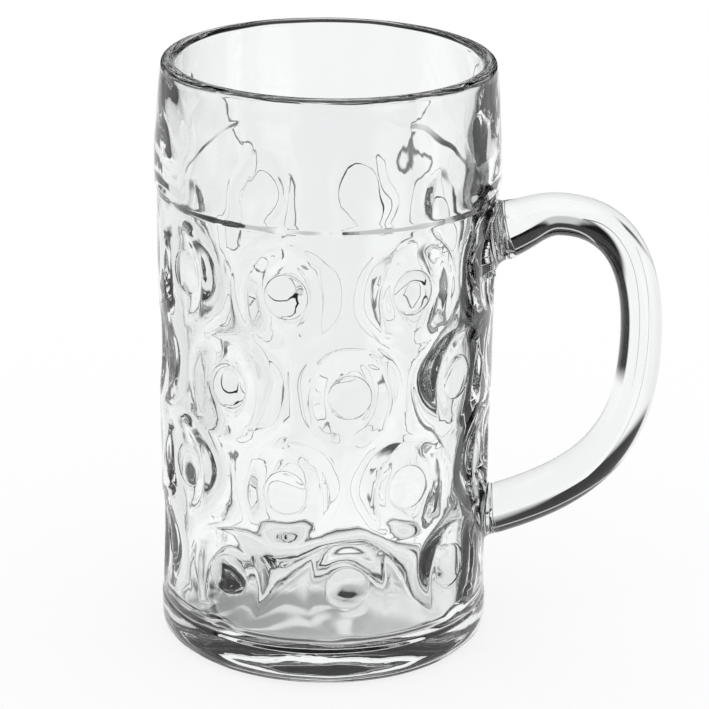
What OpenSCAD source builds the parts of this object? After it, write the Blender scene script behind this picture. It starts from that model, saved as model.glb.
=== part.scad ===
// A one litre beer mug of clear glass, in two pieces that are joined while they are hot.
// The bowl is blown into a mould whose round knobs press four staggered rows of dimples into its wall.
// The handle is a second gather of glass, drawn into a bow and set on two bosses of the bowl.
// Z is up, the origin is on the mug's axis at the table, and the handle points along +X.

/* [Bowl] */
// Height from the table to the top of the lip
mug_height = 193; // [180:1:215]
// Outside radius of the barrel just under the neck band
barrel_radius = 54.5; // [50:0.5:60]
// How much narrower the barrel is at the foot than under the neck band
barrel_taper = 1.4; // [0:0.1:3]
// Thickness of the wall between the dimples at the foot of the barrel
wall = 6.2; // [5:0.1:8]
// Thickness of the glass under the middle of the drink
floor_thickness = 12; // [9:0.5:16]
// Radius of the round corner between the wall and the floor inside
floor_corner = 5; // [3:0.5:12]

/* [Neck] */
// Height of the plain band between the dimples and the lip
neck_height = 39.6; // [34:0.2:46]
// How far the neck band stands out from the barrel
neck_step = 0.8; // [0.4:0.1:2]
// Height of the slope that leads from the barrel out to the neck band
neck_slope = 2.3; // [1:0.1:4]
// How far the neck draws in from its lower edge to the lip
neck_draw = 2.2; // [0.5:0.1:4]
// Thickness of the lip, which is fully rounded
lip_thickness = 4.8; // [4:0.1:6]

/* [Foot] */
// Height of the plain band round the foot
foot_height = 12.2; // [10:0.2:15]
// How far the foot band stands out from the barrel
foot_step = 0.5; // [0.3:0.1:1.5]
// Height of the slope that leads from the foot band in to the barrel
foot_slope = 1.3; // [0.8:0.1:3]
// Radius of the rounded lower edge of the foot
foot_edge = 5.5; // [3:0.1:7]
// Radius of the shallow hollow under the foot
hollow_radius = 40; // [34:0.5:43]
// Depth of the hollow under the foot at its middle
hollow_depth = 3; // [1:0.1:5]

/* [Dimples] */
// Number of dimples in each row round the barrel
dimples_around = 8; // [6:1:9]
// Number of rows, each turned half a step from the next
dimple_rows = 4; // [3:1:4]
// Height of the middle of the lowest row above the foot band
lowest_row = 20.8; // [19:0.2:26]
// Distance from the middle of the highest row up to the neck band
highest_row = 23.4; // [20:0.2:28]
// Half the height of a dimple where it meets the barrel
dimple_radius = 15.5; // [13:0.1:16.5]
// Depth of the flat disc in the middle of a dimple
dimple_depth = 2.7; // [1.5:0.1:3.4]
// Radius of the flat disc in the middle of a dimple
disc_radius = 7.2; // [5:0.1:9]
// Half the height of the bulge that each dimple raises on the inside
bulge_radius = 14.5; // [11:0.1:17]
// How far the bulge stands out from the inner wall
bulge_rise = 3.2; // [1:0.1:4.4]

/* [Handle] */
// Clear width between the barrel and the grip, for the fingers
finger_gap = 40.3; // [34:0.5:48]
// Thickness of the grip, measured away from the bowl
grip_thickness = 13.2; // [11:0.2:17]
// Width of the grip, measured across the hand
grip_width = 17; // [13:0.5:22]
// Distance from the middle of the upper seat up to the neck band
upper_seat_drop = 15.8; // [14:0.2:22]
// Radius of the boss and the handle where they meet at the upper seat
upper_seat_radius = 9.4; // [7:0.1:10]
// How far the middle of the upper seat stands out from the barrel
upper_seat_stand = 2.9; // [2:0.1:5]
// Height of the middle of the lower seat above the table
lower_seat_height = 41.6; // [34:0.5:52]
// Radius of the boss and the handle where they meet at the lower seat
lower_seat_radius = 8.4; // [7:0.1:10]
// How far the middle of the lower seat stands out from the barrel
lower_seat_stand = 2.2; // [2:0.1:5]
// Height of the crown of the bow above the upper seat
crown_rise = 5.7; // [3:0.1:12]

/* [Hidden] */
$fn = 96;

// The seats lean back by these angles from upright, and the arms leave them at these slopes.
upper_seat_lean = 10;
lower_seat_lean = 4;
upper_arm_slope = 22;
lower_arm_slope = 19;
// Places on the bow, as shares of its own reach and drop.
crown_reach_share = 0.365;
grip_drop_share = 0.395;
// Lengths of the curve's control arms, as shares of the stretch that each one shapes.
upper_arm_share = 0.37;
crown_in_share = 0.35;
crown_out_share = 0.66;
grip_up_share = 0.66;
grip_down_share = 0.58;
lower_arm_share = 0.73;
// Shares of the handle's length over which it narrows from the upper seat and widens to the lower one.
upper_flare_share = 0.3;
lower_flare_share = 0.55;
// Radius of the concave round that leads from the wall to a boss, as a share of the seat's radius.
boss_round_share = 0.6;

// How far a cut runs past the surface that it opens.
overrun = 2;
// Steps of each of the handle's three stretches, and sides of its section.
stretch_steps = [9, 13, 15];
handle_sides = 28;

neck_z = mug_height - neck_height;
neck_foot_z = neck_z - neck_slope;
barrel_foot_z = foot_height + foot_slope;
barrel_foot_radius = barrel_radius - barrel_taper;
foot_radius = barrel_foot_radius + foot_step;
neck_radius = barrel_radius + neck_step;
lip_radius = neck_radius - neck_draw;
lip_round = lip_thickness / 2;
lip_middle_z = mug_height - lip_round;
bore_radius = barrel_foot_radius - wall;
bore_lip_radius = lip_radius - lip_thickness;
bore_foot_z = floor_thickness + floor_corner;

row_pitch = (neck_z - highest_row - foot_height - lowest_row) / (dimple_rows - 1);
dimple_step = 360 / dimples_around;
function row_z(row) = foot_height + lowest_row + row * row_pitch;
function row_turn(row) = dimple_step * (row % 2 == 0 ? 1 : -1) / 4;

// Radius of the sphere whose cap is as wide as half_width and as deep as rise.
function cap_sphere(half_width, rise) = (half_width * half_width + rise * rise) / (2 * rise);
// The knob's sphere goes through the rim of the dimple and the rim of its disc.
knob_offset = (pow(dimple_radius, 2) - pow(disc_radius, 2) - pow(dimple_depth, 2)) / (2 * dimple_depth);
knob_radius = norm([dimple_radius, knob_offset]);
bulge_sphere = cap_sphere(bulge_radius, bulge_rise);
hollow_sphere = cap_sphere(hollow_radius, hollow_depth);

// Outside radius of the barrel at height z.
function barrel_at(z) =
    barrel_foot_radius + barrel_taper * (z - barrel_foot_z) / (neck_foot_z - barrel_foot_z);

upper_seat_z = neck_z - upper_seat_drop;
upper_seat = [barrel_at(upper_seat_z) + upper_seat_stand, upper_seat_z];
lower_seat = [barrel_at(lower_seat_height) + lower_seat_stand, lower_seat_height];

// Outline of the solid glass, seen in section: foot, barrel, neck and lip.
module outer_profile() {
    translate([foot_radius - foot_edge, foot_edge])
        circle(foot_edge);
    square([foot_radius - foot_edge, foot_height]);
    polygon([
        [0, foot_edge],
        [foot_radius, foot_edge],
        [foot_radius, foot_height],
        [barrel_foot_radius, barrel_foot_z],
        [barrel_radius, neck_foot_z],
        [neck_radius, neck_z],
        [0, neck_z]
    ]);
    neck_profile();
    square([lip_radius - lip_round, mug_height]);
    translate([lip_radius - lip_round, lip_middle_z])
        circle(lip_round);
}

// The neck is an arc that starts upright at its lower edge and draws in to the lip.
module neck_profile() {
    neck_sweep = cap_sphere(lip_middle_z - neck_z, neck_draw);
    intersection() {
        translate([neck_radius - neck_sweep, neck_z])
            circle(neck_sweep, $fn = 720);
        square([neck_radius, lip_middle_z]);
    }
}

// Outline of the space inside: the round floor corner, a wall that stands upright as far as the
// neck and flares out from there, and the inner half of the lip.
module bore_profile() {
    translate([bore_radius - floor_corner, bore_foot_z])
        circle(floor_corner);
    translate([0, floor_thickness])
        square([bore_radius - floor_corner, mug_height - floor_thickness]);
    polygon([
        [0, bore_foot_z],
        [bore_radius, bore_foot_z],
        [bore_radius, neck_z],
        [bore_lip_radius, lip_middle_z],
        [0, lip_middle_z]
    ]);
    difference() {
        translate([0, lip_middle_z])
            square([bore_lip_radius + lip_round, lip_round + overrun]);
        translate([bore_lip_radius + lip_round, lip_middle_z])
            circle(lip_round);
    }
}

// Puts its children at each dimple's place, turned so that X points outwards, at the given row.
module at_row(row) {
    for (i = [0 : dimples_around - 1])
        rotate([0, 0, i * dimple_step + row_turn(row)])
            translate([0, 0, row_z(row)])
                children();
}

// The knob that presses one dimple: a sphere with a flat end.
module knob(surface_radius) {
    intersection() {
        translate([surface_radius + knob_offset, 0, 0])
            sphere(knob_radius);
        translate([surface_radius - dimple_depth, -dimple_radius, -dimple_radius - overrun])
            cube([2 * dimple_radius, 2 * dimple_radius, 2 * (dimple_radius + overrun)]);
    }
}

// The space inside, less the bulges that the dimples raise on its wall.
module inner_space() {
    difference() {
        rotate_extrude()
            bore_profile();
        for (row = [0 : dimple_rows - 1])
            at_row(row)
                translate([bore_radius - bulge_rise + bulge_sphere, 0, 0])
                    sphere(bulge_sphere);
    }
}

// A boss grows out of the wall in a concave round and is cut off at the seat, which leans back.
module boss(seat, lean, radius) {
    round_radius = boss_round_share * radius;
    reach = radius * tan(lean);
    translate([seat[0], 0, seat[1]])
        difference() {
            rotate([0, 90, 0])
                rotate_extrude()
                    difference() {
                        translate([0, -wall])
                            square([radius + round_radius, wall + reach]);
                        translate([radius + round_radius, 0])
                            circle(round_radius);
                        translate([radius, 0])
                            square([2 * round_radius, reach + overrun]);
                    }
            rotate([0, -lean, 0])
                translate([0, -2 * radius, -2 * radius])
                    cube(4 * radius);
        }
}

module bowl() {
    color([0.86, 0.9, 0.9, 0.45])
        difference() {
            union() {
                difference() {
                    rotate_extrude()
                        outer_profile();
                    for (row = [0 : dimple_rows - 1])
                        at_row(row)
                            knob(barrel_at(row_z(row)));
                }
                boss(upper_seat, upper_seat_lean, upper_seat_radius);
                boss(lower_seat, lower_seat_lean, lower_seat_radius);
            }
            inner_space();
            translate([0, 0, hollow_depth - hollow_sphere])
                sphere(hollow_sphere, $fn = 360);
        }
}

// The bow's centre line, in the X and Z of its own plane, is three cubic curves end to end.
grip_place = [
    barrel_radius + finger_gap + grip_thickness / 2,
    upper_seat[1] + crown_rise - grip_drop_share * (upper_seat[1] + crown_rise - lower_seat[1])
];
crown_place = [
    upper_seat[0] + crown_reach_share * (grip_place[0] - upper_seat[0]),
    upper_seat[1] + crown_rise
];
crown_to_seat = crown_place[0] - upper_seat[0];
crown_to_grip = grip_place - crown_place;
grip_to_seat = grip_place - lower_seat;
function toward(angle) = [cos(angle), sin(angle)];
stretches = [
    [
        upper_seat,
        upper_seat + upper_arm_share * crown_to_seat * toward(upper_arm_slope),
        crown_place - [crown_in_share * crown_to_seat, 0],
        crown_place
    ],
    [
        crown_place,
        crown_place + [crown_out_share * crown_to_grip[0], 0],
        grip_place - [0, grip_up_share * crown_to_grip[1]],
        grip_place
    ],
    [
        grip_place,
        grip_place - [0, grip_down_share * grip_to_seat[1]],
        lower_seat + lower_arm_share * grip_to_seat[0] * toward(lower_arm_slope),
        lower_seat
    ]
];
function curve_point(c, t) =
    pow(1 - t, 3) * c[0] + 3 * pow(1 - t, 2) * t * c[1] + 3 * (1 - t) * t * t * c[2] + pow(t, 3) * c[3];
function curve_run(c, t) =
    pow(1 - t, 2) * (c[1] - c[0]) + 2 * (1 - t) * t * (c[2] - c[1]) + t * t * (c[3] - c[2]);

// Each ring of the loft has its stretch and its place along that stretch, from 0 to 1.
stations = [
    for (s = [0 : 2])
        for (i = [s == 0 ? 0 : 1 : stretch_steps[s]])
            [s, i / stretch_steps[s]]
];
last_ring = len(stations) - 1;

// The end rings lie in the seats, and the others stand square to the centre line.
function ring_normal(i) =
    i == 0 ? toward(upper_seat_lean + 90)
    : i == last_ring ? -toward(lower_seat_lean + 90)
    : let (run = curve_run(stretches[stations[i][0]], stations[i][1])) [-run[1], run[0]] / norm(run);

// Half the thickness and half the width of the section, from the seats to the grip.
function ease(t) = let (c = max(0, min(1, t))) c * c;
function ring_size(i) =
    let (
        along = i / last_ring,
        upper = ease(1 - along / upper_flare_share),
        lower = ease((along - 1 + lower_flare_share) / lower_flare_share),
        grip = [grip_thickness, grip_width] / 2,
        upper_end = upper_seat_radius * [1 / cos(upper_seat_lean), 1],
        lower_end = lower_seat_radius * [1 / cos(lower_seat_lean), 1]
    )
    grip + upper * (upper_end - grip) + lower * (lower_end - grip);

function ring(i) =
    let (
        centre = curve_point(stretches[stations[i][0]], stations[i][1]),
        normal = ring_normal(i),
        size = ring_size(i)
    )
    [
        for (k = [0 : handle_sides - 1])
            let (
                turn = 360 * k / handle_sides,
                place = centre + size[0] * cos(turn) * normal
            )
            [place[0], size[1] * sin(turn), place[1]]
    ];

module handle() {
    rings = [for (i = [0 : last_ring]) ring(i)];
    sides = [
        for (i = [0 : last_ring - 1])
            for (k = [0 : handle_sides - 1])
                let (
                    a = i * handle_sides + k,
                    b = i * handle_sides + (k + 1) % handle_sides
                )
                each [[a, b, a + handle_sides], [b, b + handle_sides, a + handle_sides]]
    ];
    upper_end = [for (k = [handle_sides - 1 : -1 : 0]) k];
    lower_end = [for (k = [0 : handle_sides - 1]) last_ring * handle_sides + k];
    color([0.86, 0.9, 0.9, 0.45])
        polyhedron([for (r = rings) each r], concat(sides, [upper_end, lower_end]), convexity = 4);
}

bowl();
handle();
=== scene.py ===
"""Looks of a one litre beer mug of clear glass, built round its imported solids.

The sections follow the mug as it stands: the camera, the studio, the table, the bowl and the handle.
Sizes are in millimetres and meshes are made in metres.
"""

import math

import bpy
import numpy as np
from mathutils import Matrix, Vector


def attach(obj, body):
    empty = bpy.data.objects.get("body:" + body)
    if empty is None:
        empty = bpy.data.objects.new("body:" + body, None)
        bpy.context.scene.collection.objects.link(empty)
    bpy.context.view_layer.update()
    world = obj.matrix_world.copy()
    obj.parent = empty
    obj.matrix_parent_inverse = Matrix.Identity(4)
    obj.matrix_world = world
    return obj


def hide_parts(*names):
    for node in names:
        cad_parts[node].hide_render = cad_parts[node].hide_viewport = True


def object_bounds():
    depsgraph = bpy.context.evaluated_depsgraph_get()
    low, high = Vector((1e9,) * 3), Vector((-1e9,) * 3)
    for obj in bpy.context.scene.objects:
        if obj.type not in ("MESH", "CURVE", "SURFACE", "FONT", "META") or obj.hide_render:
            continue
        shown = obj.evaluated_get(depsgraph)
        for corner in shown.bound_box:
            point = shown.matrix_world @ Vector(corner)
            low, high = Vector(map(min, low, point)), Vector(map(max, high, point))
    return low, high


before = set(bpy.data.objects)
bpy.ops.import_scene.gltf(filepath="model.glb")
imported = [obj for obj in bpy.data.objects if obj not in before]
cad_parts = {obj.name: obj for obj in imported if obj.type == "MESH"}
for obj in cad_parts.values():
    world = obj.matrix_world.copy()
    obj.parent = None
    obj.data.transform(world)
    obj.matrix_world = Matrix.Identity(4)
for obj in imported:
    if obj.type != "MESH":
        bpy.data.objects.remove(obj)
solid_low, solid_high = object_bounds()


# The camera. It stands almost a metre away and looks down on the mug, as in the photograph.
# The handle's plane is turned a little away from a square side view.
METRE = 0.001
handle_turn = math.radians(2.75)
camera_distance = 963.1
camera_height = 440.9
camera_pitch = math.radians(19.82)
camera_yaw = math.radians(0.55)
camera_roll = math.radians(0.8)
image_side = 709
focal_length_in_pixels = 3161

camera_data = bpy.data.cameras.new("camera")
camera_data.sensor_width = 36
camera_data.lens = focal_length_in_pixels / image_side * camera_data.sensor_width
camera = bpy.data.objects.new("camera", camera_data)
bpy.context.collection.objects.link(camera)

heading = camera_yaw - handle_turn
looks_along = Vector(
    (
        math.sin(heading) * math.cos(camera_pitch),
        math.cos(heading) * math.cos(camera_pitch),
        -math.sin(camera_pitch),
    )
)
level_right = looks_along.cross(Vector((0, 0, 1))).normalized()
level_up = level_right.cross(looks_along)
camera_right = level_right * math.cos(camera_roll) + level_up * math.sin(camera_roll)
camera_up = level_up * math.cos(camera_roll) - level_right * math.sin(camera_roll)
camera_place = Vector(
    (
        camera_distance * math.sin(handle_turn),
        -camera_distance * math.cos(handle_turn),
        camera_height,
    )
)
camera.matrix_world = (
    Matrix.Translation(camera_place * METRE)
    @ Matrix((camera_right, camera_up, -looks_along)).transposed().to_4x4()
)
bpy.context.scene.camera = camera
bpy.context.scene.view_settings.view_transform = "Standard"

# Light meets many faces of glass on its way through both walls, so it may bounce more often than usual.
bpy.context.scene.cycles.max_bounces = 32
bpy.context.scene.cycles.transmission_bounces = 28
bpy.context.scene.cycles.glossy_bounces = 12


# The studio. It is white, with dark and pale cards that only glass shows, as the dark lines at its edges.
# Each card has the bearing of its middle, clockwise from +Y, half its width, its lowest and highest
# elevation, how softly it ends, all in degrees, and its brightness. A later card covers an earlier one.
cards = {
    "table_front": (0, 180, -90, -33, 2, 0.02),
    "left_wall": (-80, 56, -35, 8, 13, 0.86),
    "left_corner": (-95, 48, -35, 8, 12, 0.8),
    "room": (0, 180, 10, 90, 3, 0.015),
    "beyond_the_table": (0, 38, -11, 30, 2.5, 0.01),
    "screen_frame": (-2.8, 8.1, -28, -9, 0.2, 0.2),
    "screen": (-2.8, 7.5, -29, -6.9, 0.2, 1.0),
    "window": (0, 6.5, -9, 4, 2, 0.62),
    "strip_light": (0, 60, 13.5, 16.5, 0.8, 0.6),
    "top_light": (0, 180, 55, 90, 8, 0.9),
    "right_flag": (56, 33, -45, 16, 2, 0.005),
    "front": (180, 76, -80, 14, 3, 0.03),
    "front_window": (135, 13, -26, -4, 4, 0.9),
}


def add(tree, kind, **settings):
    """Adds a node of this kind, with its own settings, to a node tree."""
    node = tree.nodes.new("ShaderNode" + kind)
    for key, value in settings.items():
        setattr(node, key, value)
    return node


def feed(tree, socket, value):
    """Puts a plain value on a socket, or links another socket to it."""
    if isinstance(value, bpy.types.NodeSocket):
        tree.links.new(value, socket)
    else:
        socket.default_value = value


def maths(tree, operation, *values):
    """Adds a Math node fed by sockets or plain numbers, and gives its result."""
    node = add(tree, "Math", operation=operation)
    for socket, value in zip(node.inputs, values):
        feed(tree, socket, value)
    return node.outputs[0]


def soft_step(tree, value, low, high):
    """Goes smoothly from 0 where value is low to 1 where it is high."""
    node = add(tree, "MapRange", interpolation_type="SMOOTHSTEP")
    feed(tree, node.inputs["Value"], value)
    feed(tree, node.inputs["From Min"], low)
    feed(tree, node.inputs["From Max"], high)
    return node.outputs["Result"]


def blended(tree, share, first, second):
    """Goes from the first value to the second as share goes from 0 to 1."""
    node = add(tree, "Mix", data_type="FLOAT")
    feed(tree, node.inputs[0], share)
    feed(tree, node.inputs[2], first)
    feed(tree, node.inputs[3], second)
    return node.outputs[0]


world = bpy.data.worlds.new("studio")
bpy.context.scene.world = world
world.use_nodes = True
sky = world.node_tree
sky.nodes.clear()
direction = add(sky, "TexCoord").outputs["Generated"]
axes = add(sky, "SeparateXYZ")
sky.links.new(direction, axes.inputs[0])
elevation = maths(sky, "DEGREES", maths(sky, "ARCSINE", axes.outputs["Z"]))
level_part = add(sky, "VectorMath", operation="MULTIPLY")
level_part.inputs[1].default_value = (1, 1, 0)
sky.links.new(direction, level_part.inputs[0])
bearing = add(sky, "VectorMath", operation="NORMALIZE")
sky.links.new(level_part.outputs[0], bearing.inputs[0])

# The flag on the right shows only through more than one pane, so the bowl shows it and the handle doesn't.
# A ray's depth counts the faces that it has passed, and a pane has two.
most_faces_of_one_pane = 2.5
rays = add(sky, "LightPath")
past_one_pane = maths(sky, "GREATER_THAN", rays.outputs["Ray Depth"], most_faces_of_one_pane)
seen_in_glass = 1.0
for name, (middle, half_width, lowest, highest, softness, brightness) in cards.items():
    covered = maths(
        sky,
        "MULTIPLY",
        soft_step(sky, elevation, lowest - softness, lowest + softness),
        soft_step(sky, elevation, highest + softness, highest - softness) if highest < 90 else 1.0,
    )
    if half_width < 180:
        toward_middle = add(sky, "VectorMath", operation="DOT_PRODUCT")
        sky.links.new(bearing.outputs[0], toward_middle.inputs[0])
        turned = math.radians(middle)
        toward_middle.inputs[1].default_value = (math.sin(turned), math.cos(turned), 0)
        off_middle = maths(
            sky, "DEGREES", maths(sky, "ARCCOSINE", toward_middle.outputs["Value"])
        )
        in_width = soft_step(sky, off_middle, half_width + softness, half_width - softness)
        covered = maths(sky, "MULTIPLY", covered, in_width)
    if name == "right_flag":
        covered = maths(sky, "MULTIPLY", covered, past_one_pane)
    seen_in_glass = blended(sky, covered, seen_in_glass, brightness)
through_glass = maths(
    sky, "MAXIMUM", rays.outputs["Is Glossy Ray"], rays.outputs["Is Transmission Ray"]
)
background = add(sky, "Background")
background.inputs["Color"].default_value = (1, 1, 1, 1)
sky.links.new(blended(sky, through_glass, 1.0, seen_in_glass), background.inputs["Strength"])
sky_out = add(sky, "OutputWorld")
sky.links.new(background.outputs[0], sky_out.inputs[0])


# The table. It is a wide matt white disc, just under the foot. Part of its light is a glow of its own, so
# that it is white where nothing shades it, and the rest is the studio's, so that it keeps a soft shadow.
table_radius = 3000
table_corners = 96
table_drop = 0.05
table_glow = 0.8

table_turns = np.linspace(0, 2 * np.pi, table_corners, endpoint=False)
table_points = np.stack(
    [
        table_radius * np.cos(table_turns),
        table_radius * np.sin(table_turns),
        np.full(table_corners, -table_drop),
    ],
    axis=-1,
)
table_mesh = bpy.data.meshes.new("table")
table_mesh.from_pydata((table_points * METRE).tolist(), [], [list(range(table_corners))])
table = bpy.data.objects.new("table", table_mesh)
bpy.context.collection.objects.link(table)

table_finish = bpy.data.materials.new("table_finish")
table_finish.use_nodes = True
tree = table_finish.node_tree
tree.nodes.clear()
glow = add(tree, "Emission")
glow.inputs["Color"].default_value = (1, 1, 1, 1)
matt = add(tree, "BsdfDiffuse")
matt.inputs["Color"].default_value = (1 - table_glow, 1 - table_glow, 1 - table_glow, 1)
both = add(tree, "AddShader")
tree.links.new(glow.outputs[0], both.inputs[0])
tree.links.new(matt.outputs[0], both.inputs[1])
spot = add(tree, "TexCoord").outputs["Object"]
from_axis = add(tree, "VectorMath", operation="LENGTH")
tree.links.new(spot, from_axis.inputs[0])
along_table = add(tree, "SeparateXYZ")
tree.links.new(spot, along_table.inputs[0])
rightward = along_table.outputs["X"]
backward = along_table.outputs["Y"]
outward = from_axis.outputs["Value"]
rays = add(tree, "LightPath")
in_glass = maths(
    tree, "MAXIMUM", rays.outputs["Is Glossy Ray"], rays.outputs["Is Transmission Ray"]
)


def edge(value, low, high):
    """Goes smoothly from 0 to 1 over a stretch of the table between two places in millimetres."""
    return soft_step(tree, value, low * METRE, high * METRE)


# Seen through glass, only the part of the table near the mug shows, and the studio shows past it.
# One pane of glass, such as the handle, shows more: what lies right of the mug or close to the glass.
seen_past_two_panes = (54, 70.2)
seen_past_one_pane = (250, 300)
right_of_mug = (50, 60)
close_to_glass = (230, 210)

through_one_pane = maths(tree, "LESS_THAN", rays.outputs["Ray Depth"], most_faces_of_one_pane)
bright_part = maths(
    tree,
    "MAXIMUM",
    edge(rightward, *right_of_mug),
    edge(rays.outputs["Ray Length"], *close_to_glass),
)
past_what_shows = blended(
    tree,
    maths(tree, "MULTIPLY", bright_part, through_one_pane),
    edge(outward, *seen_past_two_panes),
    edge(outward, *seen_past_one_pane),
)

# Under the foot, glass shows the table with painted shade, most on the left and at the foot's ring. Painted
# streaks stand for light that the glass gathers, and painted light from behind and from the right reaches
# a little way under the glass. All of it is set in the table's glow, not cast by the lamps.
left_shade = 0.38
right_shade = 0.64
shade_turns = (-30, 50)
ring_shade = 0.1
foot_ring = (40, 44)
foot_rim = (50, 54)
gathered_light = 0.45
gathered_edge = (0.52, 0.6)
lean_of_light = 0.8
light_from_right = (2, 18)
light_from_behind = (8, 20)
light_under_foot = 0.95

# Painted shade, from left to right and darkest at the foot's ring, with painted streaks of gathered light on
# it.
painted_shade = blended(tree, edge(rightward, *shade_turns), left_shade, right_shade)
streaks = add(tree, "TexNoise")
streaks.inputs["Scale"].default_value = 45
streaks.inputs["Detail"].default_value = 1.0
streaks.inputs["Distortion"].default_value = 4
painted_light_streaks = soft_step(tree, streaks.outputs["Fac"], *gathered_edge)
painted_gathered_light = maths(tree, "MULTIPLY", painted_light_streaks, gathered_light)
at_ring = blended(tree, edge(outward, *foot_ring), 1.0, ring_shade)
painted_shade = maths(tree, "ADD", maths(tree, "MULTIPLY", painted_shade, at_ring), painted_gathered_light)
# Painted light from behind and from the right, reaching a little way under the foot.
slantwise = maths(tree, "MULTIPLY_ADD", rightward, lean_of_light, backward)
lit = maths(
    tree, "MAXIMUM", edge(slantwise, *light_from_right), edge(backward, *light_from_behind)
)
under_foot = blended(tree, lit, painted_shade, light_under_foot)
under_glass = blended(tree, edge(outward, *foot_rim), under_foot, table_glow)
# Glass rays see the table's glow carry this painted shade and light; camera rays see an even glow.
tree.links.new(blended(tree, in_glass, table_glow, under_glass), glow.inputs["Strength"])
shown = add(tree, "MixShader")
tree.links.new(maths(tree, "MULTIPLY", past_what_shows, in_glass), shown.inputs[0])
tree.links.new(both.outputs[0], shown.inputs[1])
tree.links.new(add(tree, "BsdfTransparent").outputs[0], shown.inputs[2])
tree.links.new(shown.outputs[0], add(tree, "OutputMaterial").inputs[0])
table_mesh.materials.append(table_finish)


# The bowl. It is one piece of clear glass, blown into a mould whose knobs press four rows of dimples.
# The inside follows them as soft bulges. Two short bosses stand out from the wall to take the handle.
mug_height = solid_high.z / METRE
neck_radius = solid_high.y / METRE
barrel_radius = 54.5
barrel_taper = 1.4
wall = 6.2
floor_thickness = 12
floor_corner = 5
neck_height = 39.6
neck_slope = 2.3
neck_draw = 2.2
lip_thickness = 4.8
foot_height = 12.2
foot_step = 0.5
foot_slope = 1.3
foot_edge = 5.5
hollow_radius = 40
hollow_depth = 3
dimples_around = 8
dimple_rows = 4
lowest_row = 33
row_pitch = 32.333
dimple_radius = 15.5
dimple_depth = 2.7
disc_radius = 7.2
disc_step = 0.3
disc_step_width = 0.35
bulge_radius = 19
bulge_rise = 3.2
band_round = 1.2
bore_bend = 60

foot_radius = barrel_radius - barrel_taper + foot_step
lip_radius = neck_radius - neck_draw
neck_z = mug_height - neck_height
lip_middle_z = mug_height - lip_thickness / 2
barrel_foot = (barrel_radius - barrel_taper, foot_height + foot_slope)
barrel_top = (barrel_radius, neck_z - neck_slope)
bore_foot = (barrel_foot[0] - wall, floor_thickness + floor_corner)
bore_waist = (bore_foot[0], neck_z)
bore_top = (lip_radius - lip_thickness, lip_middle_z)


def straight_wall(low, high, z):
    """Radius at height z of the straight wall between two places, each a radius and a height."""
    return low[0] + (high[0] - low[0]) * (z - low[1]) / (high[1] - low[1])


def rounded_outline(corners, radii, step=0.01):
    """Joins the corners by straight lines and rounds each by an arc that touches both of its lines. The arc's
    middle is on the line that halves the corner. Gives points a step apart: their run, radius and height."""
    straight_enough = 1e-4
    corners = np.array(corners, float)
    pieces = [corners[:1]]
    for before, here, after, radius in zip(corners, corners[1:], corners[2:], radii[1:]):
        come = (before - here) / np.linalg.norm(before - here)
        go = (after - here) / np.linalg.norm(after - here)
        half = math.acos(np.clip(come @ go, -1, 1)) / 2
        if radius == 0 or half > math.pi / 2 - straight_enough:
            pieces.append(here[None])
            continue
        middle = here + (come + go) / np.linalg.norm(come + go) * radius / math.sin(half)
        start = here + come * radius / math.tan(half) - middle
        end = here + go * radius / math.tan(half) - middle
        sweep = math.pi - 2 * half
        share = np.linspace(0, 1, max(4, int(radius * sweep / step)))[:, None]
        arc = (start * np.sin((1 - share) * sweep) + end * np.sin(share * sweep)) / math.sin(sweep)
        pieces.append(middle + arc)
    pieces.append(corners[-1:])
    rough = np.concatenate(pieces)
    run = np.concatenate([[0], np.cumsum(np.linalg.norm(np.diff(rough, axis=0), axis=1))])
    fine = np.linspace(0, run[-1], int(run[-1] / step))
    return fine, np.interp(fine, run, rough[:, 0]), np.interp(fine, run, rough[:, 1])


arc_steps = 200
hollow_sphere = (hollow_radius**2 + hollow_depth**2) / (2 * hollow_depth)
hollow_arc = [
    (r, hollow_depth - hollow_sphere + math.sqrt(hollow_sphere**2 - r**2))
    for r in np.linspace(0, hollow_radius, arc_steps)
]
neck_rise = lip_middle_z - neck_z
neck_sweep = (neck_rise**2 + neck_draw**2) / (2 * neck_draw)
neck_arc = [
    (neck_radius - neck_sweep + math.sqrt(neck_sweep**2 - h**2), neck_z + h)
    for h in np.linspace(0, neck_rise, arc_steps)
]

# Each corner has its radius from the axis, its height and the radius that rounds it. The neck's arc starts
# a little above its corner, so that the corner has room for its round.
past_the_round = arc_steps // 10
lip_round = lip_thickness / 2 - 0.001
outline_corners = [
    *((*place, 0) for place in hollow_arc[:-1]),
    (*hollow_arc[-1], band_round),
    (foot_radius, 0, foot_edge),
    (foot_radius, foot_height, band_round),
    (*barrel_foot, band_round),
    (*barrel_top, band_round),
    (*neck_arc[0], band_round),
    *((*place, 0) for place in neck_arc[past_the_round:-1]),
    (lip_radius, mug_height, lip_round),
    (lip_radius - lip_thickness, mug_height, lip_round),
    (*bore_top, 0),
    (*bore_waist, bore_bend),
    (bore_foot[0], floor_thickness, floor_corner),
    (0, floor_thickness, 0),
]
outline_run, outline_r, outline_z = rounded_outline(
    [corner[:2] for corner in outline_corners], [corner[2] for corner in outline_corners]
)
lip_run = outline_run[np.argmax(outline_z)]
is_outer = outline_run < lip_run


def run_at(z, outer=True):
    """How far along the outline, from the middle of the hollow, the outer or inner wall is at height z."""
    if outer:
        side = is_outer & (outline_z > foot_edge)
        return np.interp(z, outline_z[side], outline_run[side])
    side = ~is_outer
    return np.interp(-np.asarray(z), -outline_z[side], outline_run[side])


def soft_least(a, b, blend):
    """The smaller of a and b, rounded where they cross over a width of blend."""
    mix = np.clip(0.5 + 0.5 * (b - a) / blend, 0, 1)
    return b * (1 - mix) + a * mix - blend * mix * (1 - mix)


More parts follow.
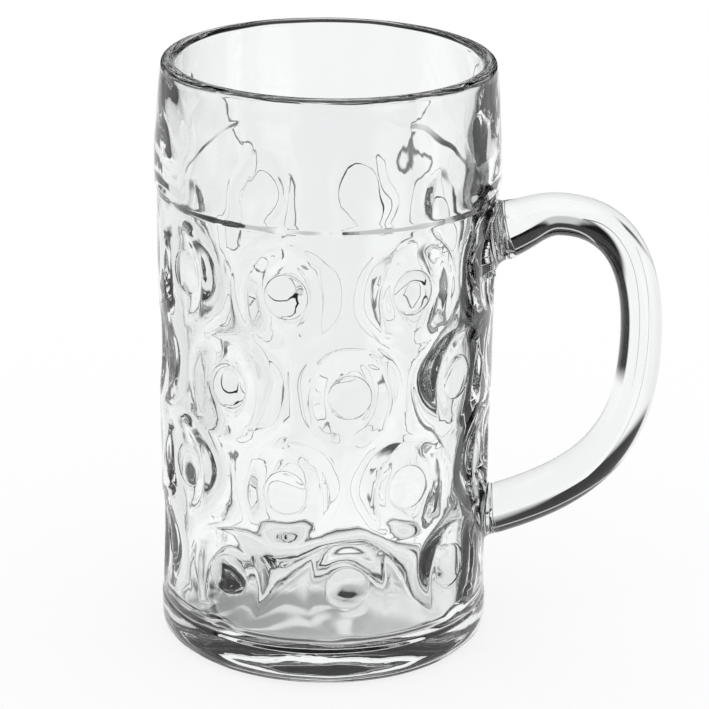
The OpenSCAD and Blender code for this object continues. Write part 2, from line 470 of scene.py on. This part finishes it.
def nearest_dimple(theta, z):
    """Angle from the middle line of the nearest dimple, height above its middle, and its row."""
    row = np.clip(np.round((z - lowest_row) / row_pitch), 0, dimple_rows - 1)
    step = 2 * np.pi / dimples_around
    turn = np.where(row % 2 == 0, step / 4, -step / 4)
    away = (theta - turn + step / 2) % step - step / 2
    return away, z - lowest_row - row * row_pitch, row


def sphere_face(away, rise, middle, radius):
    """Distance from the axis to the near face of a sphere whose middle is that far out. Beside the sphere it
    gives a distance that is far outside the mug."""
    inside = radius**2 - (middle * np.sin(away)) ** 2 - rise**2
    far_outside = 999
    face = middle * np.cos(away) - np.sqrt(np.maximum(inside, 0))
    return np.where(inside > 0, face, far_outside)


# The knob is a ball whose middle lies outside the wall. It meets the wall at the dimple's rim, and the plane
# of its flat end at the disc's rim.
knob_offset = (dimple_radius**2 - disc_radius**2 - dimple_depth**2) / (2 * dimple_depth)
knob_radius = math.hypot(dimple_radius, knob_offset)
rim_blend = 1.0
disc_blend = 0.12


def dimpled(theta, r, z):
    """The barrel's radius with the dimples pressed in by a round knob with a flat end: the smaller of the
    wall and the knob, softly blended. The flat end stands a little out, so a small step runs round it."""
    away, rise, row = nearest_dimple(theta, z)
    surface = straight_wall(barrel_foot, barrel_top, lowest_row + row * row_pitch)
    ball = sphere_face(away, rise, surface + knob_offset, knob_radius)
    flat = (surface - dimple_depth) / np.cos(away)
    knob = -soft_least(-ball, -flat, disc_blend)
    distance = np.hypot(surface * np.sin(away), rise)
    step = np.clip((disc_radius + disc_step_width / 2 - distance) / disc_step_width, 0, 1)
    knob = knob - disc_step * step * step * (3 - 2 * step)
    return soft_least(r, knob, rim_blend)


def bulged(theta, r, z):
    """The inner wall's radius less the soft hills that the dimples raise on it. A hill's height falls from
    its middle to its edge as a cosine does from its crest to its trough."""
    step = 2 * np.pi / dimples_around
    hills = np.zeros(np.broadcast(theta, z).shape)
    for row in range(dimple_rows):
        turn = step / 4 if row % 2 == 0 else -step / 4
        away = (theta - turn + step / 2) % step - step / 2
        distance = np.hypot(away * bore_foot[0], z - lowest_row - row * row_pitch)
        hills += bulge_rise * (0.5 + 0.5 * np.cos(np.pi * np.clip(distance / bulge_radius, 0, 1)))
    return r - hills


# Each boss: height and stand of its seat, its radius and its lean. No boss reaches further round the axis
# than boss_turn, in radians.
seats = {
    "upper": dict(z=neck_z - 15.8, stand=2.9, radius=9.4, lean=math.radians(10)),
    "lower": dict(z=41.6, stand=2.2, radius=8.4, lean=math.radians(4)),
}
boss_round_share = 0.6
boss_blend = 0.8
boss_turn = 0.6
seat_edge = 0.45
for seat in seats.values():
    seat["x"] = straight_wall(barrel_foot, barrel_top, seat["z"]) + seat["stand"]


def with_bosses(theta, r, z):
    """The barrel's radius with the bosses on it: a flat leaning seat, a round edge and a concave flank down
    to the wall. A place's distance from the seat's middle depends on its radius, which is found in rounds."""
    rounds = 4
    theta = (theta + np.pi) % (2 * np.pi) - np.pi
    for seat in seats.values():
        around = seat["radius"] * boss_round_share
        flat_radius = seat["radius"] - seat_edge
        out = r
        for _ in range(rounds):
            across = np.hypot(out * np.sin(theta), z - seat["z"])
            past_flat = np.clip(across - flat_radius, 0, seat_edge)
            lip = seat_edge - np.sqrt(np.clip(seat_edge**2 - past_flat**2, 0, None))
            to_wall = around - np.clip(across - seat["radius"], 0, around)
            flank = np.sqrt(np.clip(around**2 - to_wall**2, 0, None))
            x = seat["x"] - math.tan(seat["lean"]) * (z - seat["z"]) - np.maximum(lip, flank)
            near = (across < seat["radius"] + around) & (np.abs(theta) < boss_turn)
            out = np.where(near, x / np.cos(theta), r)
        r = np.where(near, -soft_least(-r, -out, boss_blend), r)
    return r


# The slow waves that hot glass keeps: how many go round, their length up the wall, start and height.
hot_waves = ((4, 71, 0.4, 0.06), (-7, 43, 2.1, 0.06), (11, 29, 4.0, 0.05), (-17, 19, 1.2, 0.035))


def waved(theta, run, r):
    """The radius less a sum of sines that run aslant round the wall. It fades out towards the axis."""
    waves = sum(height for *_, height in hot_waves)
    for around, length, start, height in hot_waves:
        waves = waves + height * np.sin(around * theta + 2 * np.pi * run / length + start)
    return r - waves * np.clip(r / barrel_radius, 0, 1) ** 2


# Dimples and bosses lie between the foot band and the neck. The bulges run out in the neck.
press_start_z = foot_height + 0.5
bulge_end_z = neck_z + 10


def bowl_surface(theta, run):
    """The bowl's surface at an angle round the axis and a distance along its outline: the outline turned
    round the axis, with the dimples and bosses on its outer wall and the bulges on its inner wall."""
    r = np.interp(run, outline_run, outline_r)
    z = np.interp(run, outline_run, outline_z)
    outer = (run < lip_run) & (z > press_start_z) & (z < neck_z)
    inner = (run > lip_run) & (z < bulge_end_z)
    inner_wall = np.where(inner, bulged(theta, r, z), r)
    pressed = waved(theta, run, np.where(outer, dimpled(theta, r, z), inner_wall))
    r = np.where(outer, with_bosses(theta, pressed, z), pressed)
    return np.stack([r * np.cos(theta), r * np.sin(theta), z], axis=-1)


# The grid has even columns round the mug and rows along the outline. On the barrel the rows are even too,
# counted from the middle of the lowest row of dimples, and its cells are nearly square, cell_side wide.
columns_per_dimple = 44
rows_per_pitch = 33
rows_below = 19
rows_above = 124
cell_side = 0.976
columns = dimples_around * columns_per_dimple
unit_turn = 2 * np.pi / columns
unit_rise = row_pitch / rows_per_pitch
barrel_steps = np.arange(-rows_below, rows_above + 1)

# The rest of the outline has rows in stretches, closer together where it bends more.
under_foot_run = run_at(foot_height) * 0.66
foot_side_run = run_at(foot_height - 1.5)
barrel_foot_run = run_at(barrel_foot[1] + 0.5)
neck_start_run = run_at(lowest_row + rows_above * unit_rise)
lip_outer_run = run_at(lip_middle_z)
lip_inner_run = run_at(lip_middle_z, outer=False)
bore_foot_run = run_at(bore_foot[1], outer=False)
floor_middle_run = outline_run[-1]
outline_rows = np.concatenate(
    [
        np.linspace(0, under_foot_run, 10)[1:],
        np.linspace(under_foot_run, foot_side_run, 14)[1:],
        np.linspace(foot_side_run, barrel_foot_run, 9)[1:],
        run_at(lowest_row + barrel_steps * unit_rise),
        np.linspace(neck_start_run, lip_outer_run, 20)[1:],
        np.linspace(lip_outer_run, lip_inner_run, 13)[1:],
        np.linspace(lip_inner_run, bore_foot_run, 58)[1:],
        np.linspace(bore_foot_run, floor_middle_run - 6, 18)[1:],
        [floor_middle_run - 3],
    ]
)
lowest_row_number = int(np.argmin(np.abs(outline_rows - run_at(lowest_row))))

turn_grid, run_grid = np.meshgrid(np.arange(columns) * unit_turn, outline_rows)
column_number, row_number = np.meshgrid(
    np.arange(columns), np.arange(len(outline_rows)) - lowest_row_number
)

# Square rings of the grid are drawn as circles about each dimple and seat, so that they follow its edge.
# Each pair of lists has the numbers of some rings and how far from the middle these are drawn. Up to
# round_reach the rings are full circles, and from there to ring_reach they turn back to squares.
ring_reach = 16
round_reach = 11
ring_end = 15.6
dimple_rings = (
    [0, 5, 6, 7, 8, 9, 10, 11, 12, 13, 14, ring_reach],
    [0, *(disc_radius + np.array([-0.9, -0.3, -0.15, 0, 0.15, 0.3, 0.9])), 9.9, 11.7, 13.5, ring_end],
)
past_seat_edge = np.array([-1.4, -0.45, -0.15, 0.01, 0.12, 0.6, 1.6, 2.9, 4.2])

round_centres = []
quarter = columns_per_dimple // 4
for row in range(dimple_rows):
    for number in range(dimples_around):
        place = number * columns_per_dimple + (quarter if row % 2 == 0 else -quarter)
        under_upper_seat = row == dimple_rows - 1 and place == -quarter
        under_lower_seat = row == 0 and place == quarter
        if not (under_upper_seat or under_lower_seat):
            round_centres.append((place % columns, row * rows_per_pitch, 0.0, dimple_rings))
for seat in seats.values():
    number = round((seat["z"] - lowest_row) / unit_rise)
    shift = seat["z"] - lowest_row - number * unit_rise
    seat_rings = (
        [0, 6, 7, 8, 9, 10, 11, 12, 13, 14, ring_reach],
        [0, *(seat["radius"] + past_seat_edge), ring_end],
    )
    round_centres.append((0, number, shift, seat_rings))

for place, number, shift, (ring, distance) in round_centres:
    across = (column_number - place + columns // 2) % columns - columns // 2
    up = row_number - number
    ring_number = np.maximum(np.abs(across), np.abs(up))
    ringed = ring_number < ring_reach
    off_middle = ringed & (ring_number > 0)
    drawn = np.interp(ring_number, ring, distance) / cell_side
    roundness = np.clip((ring_reach - ring_number) / (ring_reach - round_reach), 0, 1)
    roundness = roundness * roundness * (3 - 2 * roundness)
    as_circle = drawn / np.maximum(np.hypot(across, up), 1)
    as_square = drawn / np.maximum(ring_number, 1)
    scale = roundness * as_circle + (1 - roundness) * as_square
    rise = np.where(off_middle, up * scale, 0) * unit_rise + shift * roundness
    run_middle = run_at(lowest_row + number * unit_rise)
    turn_grid = np.where(off_middle, (place + across * scale) * unit_turn, turn_grid)
    run_grid = np.where(ringed, run_middle + rise, run_grid)


def surface_normals(surface, u, v, du, dv):
    """Unit normals of a surface: its slopes along u and v, each taken across a small step, crossed."""
    along_u = surface(u + du, v) - surface(u - du, v)
    along_v = surface(u, v + dv) - surface(u, v - dv)
    normal = np.cross(along_u, along_v)
    return normal / np.linalg.norm(normal, axis=-1, keepdims=True)


def closed_mesh(name, start, rings, end, start_normal, normals, end_normal):
    """Makes a closed mesh of rings of points, with one point at each end, and gives it these smooth normals.
    The last faces of the mesh are the fans that close its two ends."""
    count, around = rings.shape[:2]
    points = np.concatenate([[start], rings.reshape(-1, 3), [end]]) * METRE
    j, i = np.meshgrid(np.arange(count - 1), np.arange(around), indexing="ij")
    a = 1 + j * around + i
    b = 1 + j * around + (i + 1) % around
    quads = np.stack([a, b, b + around, a + around], axis=-1).reshape(-1, 4)
    i = np.arange(around)
    following = (i + 1) % around
    first = np.stack([np.zeros(around, int), following + 1, i + 1], axis=-1)
    last_ring = 1 + (count - 1) * around
    last = np.stack([np.full(around, len(points) - 1), last_ring + i, last_ring + following], axis=-1)
    mesh = bpy.data.meshes.new(name)
    mesh.from_pydata(points.tolist(), [], quads.tolist() + first.tolist() + last.tolist())
    mesh.polygons.foreach_set("use_smooth", np.ones(len(mesh.polygons), bool))
    mesh.update()
    all_normals = np.concatenate([[start_normal], normals.reshape(-1, 3), [end_normal]])
    mesh.normals_split_custom_set_from_vertices(all_normals.tolist())
    piece = bpy.data.objects.new(name, mesh)
    bpy.context.collection.objects.link(piece)
    return piece


# The steps, in radians and millimetres, across which the bowl's slopes are taken for its normals.
small_turn = 0.0009
small_run = 0.05
bowl_points = bowl_surface(turn_grid, run_grid)
bowl_normals = surface_normals(bowl_surface, turn_grid, run_grid, small_turn, small_run)
bowl = closed_mesh(
    "dimpled_bowl",
    (0, 0, hollow_depth),
    bowl_points,
    (0, 0, floor_thickness),
    (0, 0, -1),
    bowl_normals,
    (0, 0, 1),
)

glass = bpy.data.materials.new("clear_glass_finish")
glass.use_nodes = True
tree = glass.node_tree
tree.nodes.clear()
clear = add(tree, "BsdfPrincipled")
clear.inputs["Roughness"].default_value = 0.0
clear.inputs["IOR"].default_value = 1.5
clear.inputs["Transmission Weight"].default_value = 1.0

# Faint cords run through poured glass: long drawn threads that bend light a little and tint it a little.
on_glass = add(tree, "TexCoord").outputs["Object"]
drawn_out = add(tree, "Mapping")
drawn_out.inputs["Scale"].default_value = (1, 1, 0.35)
tree.links.new(on_glass, drawn_out.inputs["Vector"])
cords = add(tree, "TexNoise")
cords.inputs["Scale"].default_value = 70
cords.inputs["Detail"].default_value = 1.5
cords.inputs["Distortion"].default_value = 1.2
tree.links.new(drawn_out.outputs[0], cords.inputs["Vector"])
tints = add(tree, "ValToRGB")
tints.color_ramp.elements[0].position = 0.3
tints.color_ramp.elements[0].color = (0.975, 0.992, 0.99, 1)
tints.color_ramp.elements[1].position = 0.7
tints.color_ramp.elements[1].color = (0.992, 0.998, 0.997, 1)
tree.links.new(cords.outputs["Fac"], tints.inputs[0])
tree.links.new(tints.outputs[0], clear.inputs["Base Color"])
ripple = add(tree, "Bump")
ripple.inputs["Strength"].default_value = 1.0
ripple.inputs["Distance"].default_value = 0.00006
tree.links.new(cords.outputs["Fac"], ripple.inputs["Height"])
tree.links.new(ripple.outputs[0], clear.inputs["Normal"])
tree.links.new(clear.outputs[0], add(tree, "OutputMaterial").inputs[0])

# Where the handle is fused to a boss there is no surface, so light passes the faces that meet there.
weld = bpy.data.materials.new("hot_weld")
weld.use_nodes = True
weld.node_tree.nodes["Principled BSDF"].inputs["Alpha"].default_value = 0.0


def finish_glass(piece, node, is_weld):
    """Gives a piece its glass, and the weld's look to the faces where is_weld holds. It rides on the root."""
    piece.data.materials.append(glass)
    piece.data.materials.append(weld)
    piece.data.polygons.foreach_set("material_index", is_weld.astype(np.int32))
    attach(piece, "root")
    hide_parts(node)


def face_middles(piece):
    """The middle of each of a piece's faces, in millimetres."""
    middles = np.empty(len(piece.data.polygons) * 3)
    piece.data.polygons.foreach_get("center", middles)
    return middles.reshape(-1, 3) / METRE


# A face of the bowl is on a seat when its middle is as near the seat's plane as in_plane.
in_plane = 0.05
middles = face_middles(bowl)
on_seat = np.zeros(len(middles), bool)
for seat in seats.values():
    plane = seat["x"] - math.tan(seat["lean"]) * (middles[:, 2] - seat["z"])
    across = np.hypot(middles[:, 1], middles[:, 2] - seat["z"])
    on_seat |= (across < seat["radius"] - seat_edge) & (np.abs(middles[:, 0] - plane) < in_plane)
finish_glass(bowl, "bowl", on_seat)


# The handle. It is a second gather of glass, drawn into a bow and pressed on the two seats while hot.
# Its section is a rounded oval that is widest where it meets the bosses.
finger_gap = 40.3
grip_thickness = 13.2
grip_width = 17
crown_rise = 5.7
upper_arm_slope = math.radians(22)
lower_arm_slope = math.radians(19)
crown_reach_share = 0.365
grip_drop_share = 0.395
upper_arm_share = 0.37
crown_in_share = 0.35
crown_out_share = 0.66
grip_up_share = 0.66
grip_down_share = 0.58
lower_arm_share = 0.73
upper_flare_share = 0.3
lower_flare_share = 0.55
stretch_steps = (9, 13, 15)

upper = np.array([seats["upper"]["x"], seats["upper"]["z"]])
lower = np.array([seats["lower"]["x"], seats["lower"]["z"]])
grip = np.array(
    [
        barrel_radius + finger_gap + grip_thickness / 2,
        upper[1] + crown_rise - grip_drop_share * (upper[1] + crown_rise - lower[1]),
    ]
)
crown = np.array([upper[0] + crown_reach_share * (grip[0] - upper[0]), upper[1] + crown_rise])
crown_to_seat = crown[0] - upper[0]
crown_to_grip = grip - crown
grip_to_seat = grip - lower
sideways = np.array([1, 0])
upwards = np.array([0, 1])


def toward(angle):
    """The direction at this angle above level, away from the bowl."""
    return np.array([math.cos(angle), math.sin(angle)])


# The bow's three stretches run from seat to crown, from crown to grip and from grip to seat. Each has a
# point at either end and two between that pull it, and so many steps of the handle's length.
bow = np.array(
    [
        [
            upper,
            upper + upper_arm_share * crown_to_seat * toward(upper_arm_slope),
            crown - crown_in_share * crown_to_seat * sideways,
            crown,
        ],
        [
            crown,
            crown + crown_out_share * crown_to_grip[0] * sideways,
            grip - grip_up_share * crown_to_grip[1] * upwards,
            grip,
        ],
        [
            grip,
            grip - grip_down_share * grip_to_seat[1] * upwards,
            lower + lower_arm_share * grip_to_seat[0] * toward(lower_arm_slope),
            lower,
        ],
    ]
)
bow_steps = sum(stretch_steps)
stretch_ends = np.cumsum((0, *stretch_steps))


def bow_line(along):
    """Points and directions of the bow's centre line, from 0 at the upper seat to 1 at the lower one. Each
    stretch is a cubic curve: its four points weighed by powers of the share t of it that is passed."""
    step = np.clip(along, 0, 1) * bow_steps
    stretch = np.clip(np.searchsorted(stretch_ends, step, side="right") - 1, 0, len(bow) - 1)
    t = ((step - stretch_ends[stretch]) / np.array(stretch_steps)[stretch])[..., None]
    c = [bow[stretch, k] for k in range(4)]
    point = (1 - t) ** 3 * c[0] + 3 * (1 - t) ** 2 * t * c[1] + 3 * (1 - t) * t**2 * c[2] + t**3 * c[3]
    run = (1 - t) ** 2 * (c[1] - c[0]) + 2 * (1 - t) * t * (c[2] - c[1]) + t**2 * (c[3] - c[2])
    return point, run / np.linalg.norm(run, axis=-1, keepdims=True)


def half_sizes(along):
    """Half the thickness and half the width of the handle's section: wide at the seats, slim at the grip."""
    to_upper = np.clip(1 - along / upper_flare_share, 0, 1) ** 2
    to_lower = np.clip((along - 1 + lower_flare_share) / lower_flare_share, 0, 1) ** 2
    grip_half = np.array([grip_thickness, grip_width]) / 2
    sizes = np.broadcast_to(grip_half, (*np.shape(along), 2))
    for share, seat in ((to_upper, seats["upper"]), (to_lower, seats["lower"])):
        seat_half = seat["radius"] * np.array([1 / math.cos(seat["lean"]), 1])
        sizes = sizes + share[..., None] * (seat_half - grip_half)
    return sizes


seat_blend = 0.09


def handle_surface(turn, along):
    """The handle's surface at an angle round its section and a share of its length: an oval carried along the
    bow, square to it, and turned into the seat's plane near each end."""
    point, run = bow_line(along)
    square = np.stack([-run[..., 1], run[..., 0]], axis=-1)
    upper_plane = toward(seats["upper"]["lean"] + math.pi / 2)
    lower_plane = -toward(seats["lower"]["lean"] + math.pi / 2)
    to_upper = np.clip(1 - along / seat_blend, 0, 1)[..., None]
    to_lower = np.clip(1 - (1 - along) / seat_blend, 0, 1)[..., None]
    normal = square + to_upper * (upper_plane - square) + to_lower * (lower_plane - square)
    normal = normal / np.linalg.norm(normal, axis=-1, keepdims=True)
    sizes = half_sizes(along)
    place = point + (sizes[..., 0] * np.cos(turn))[..., None] * normal
    return np.stack([place[..., 0], -sizes[..., 1] * np.sin(turn), place[..., 1]], axis=-1)


# The rings of the handle stand closer together at its ends. Its normals are taken a little way in from the
# ends, so that the steps across which they are taken stay on the bow.
handle_sides = 64
handle_rings = 190
even_start = 0.006
normal_start = 0.002
small_turn = 0.002
small_along = 0.0015
end_steps = np.array([0, 0.0012, 0.003])
even_steps = np.linspace(even_start, 1 - even_start, handle_rings)
stations = np.concatenate([end_steps, even_steps, 1 - end_steps[::-1]])
turns, alongs = np.meshgrid(np.arange(handle_sides) * 2 * np.pi / handle_sides, stations)
handle_points = handle_surface(turns, alongs)
safe_alongs = np.clip(alongs, normal_start, 1 - normal_start)
handle_normals = surface_normals(handle_surface, turns, safe_alongs, small_turn, small_along)
upper_lean = seats["upper"]["lean"]
lower_lean = seats["lower"]["lean"]
handle = closed_mesh(
    "bowed_handle",
    np.array([upper[0], 0, upper[1]]),
    handle_points,
    np.array([lower[0], 0, lower[1]]),
    -np.array([math.cos(upper_lean), 0, math.sin(upper_lean)]),
    handle_normals,
    -np.array([math.cos(lower_lean), 0, math.sin(lower_lean)]),
)
face_count = len(handle.data.polygons)
finish_glass(handle, "handle", np.arange(face_count) >= face_count - 2 * handle_sides)
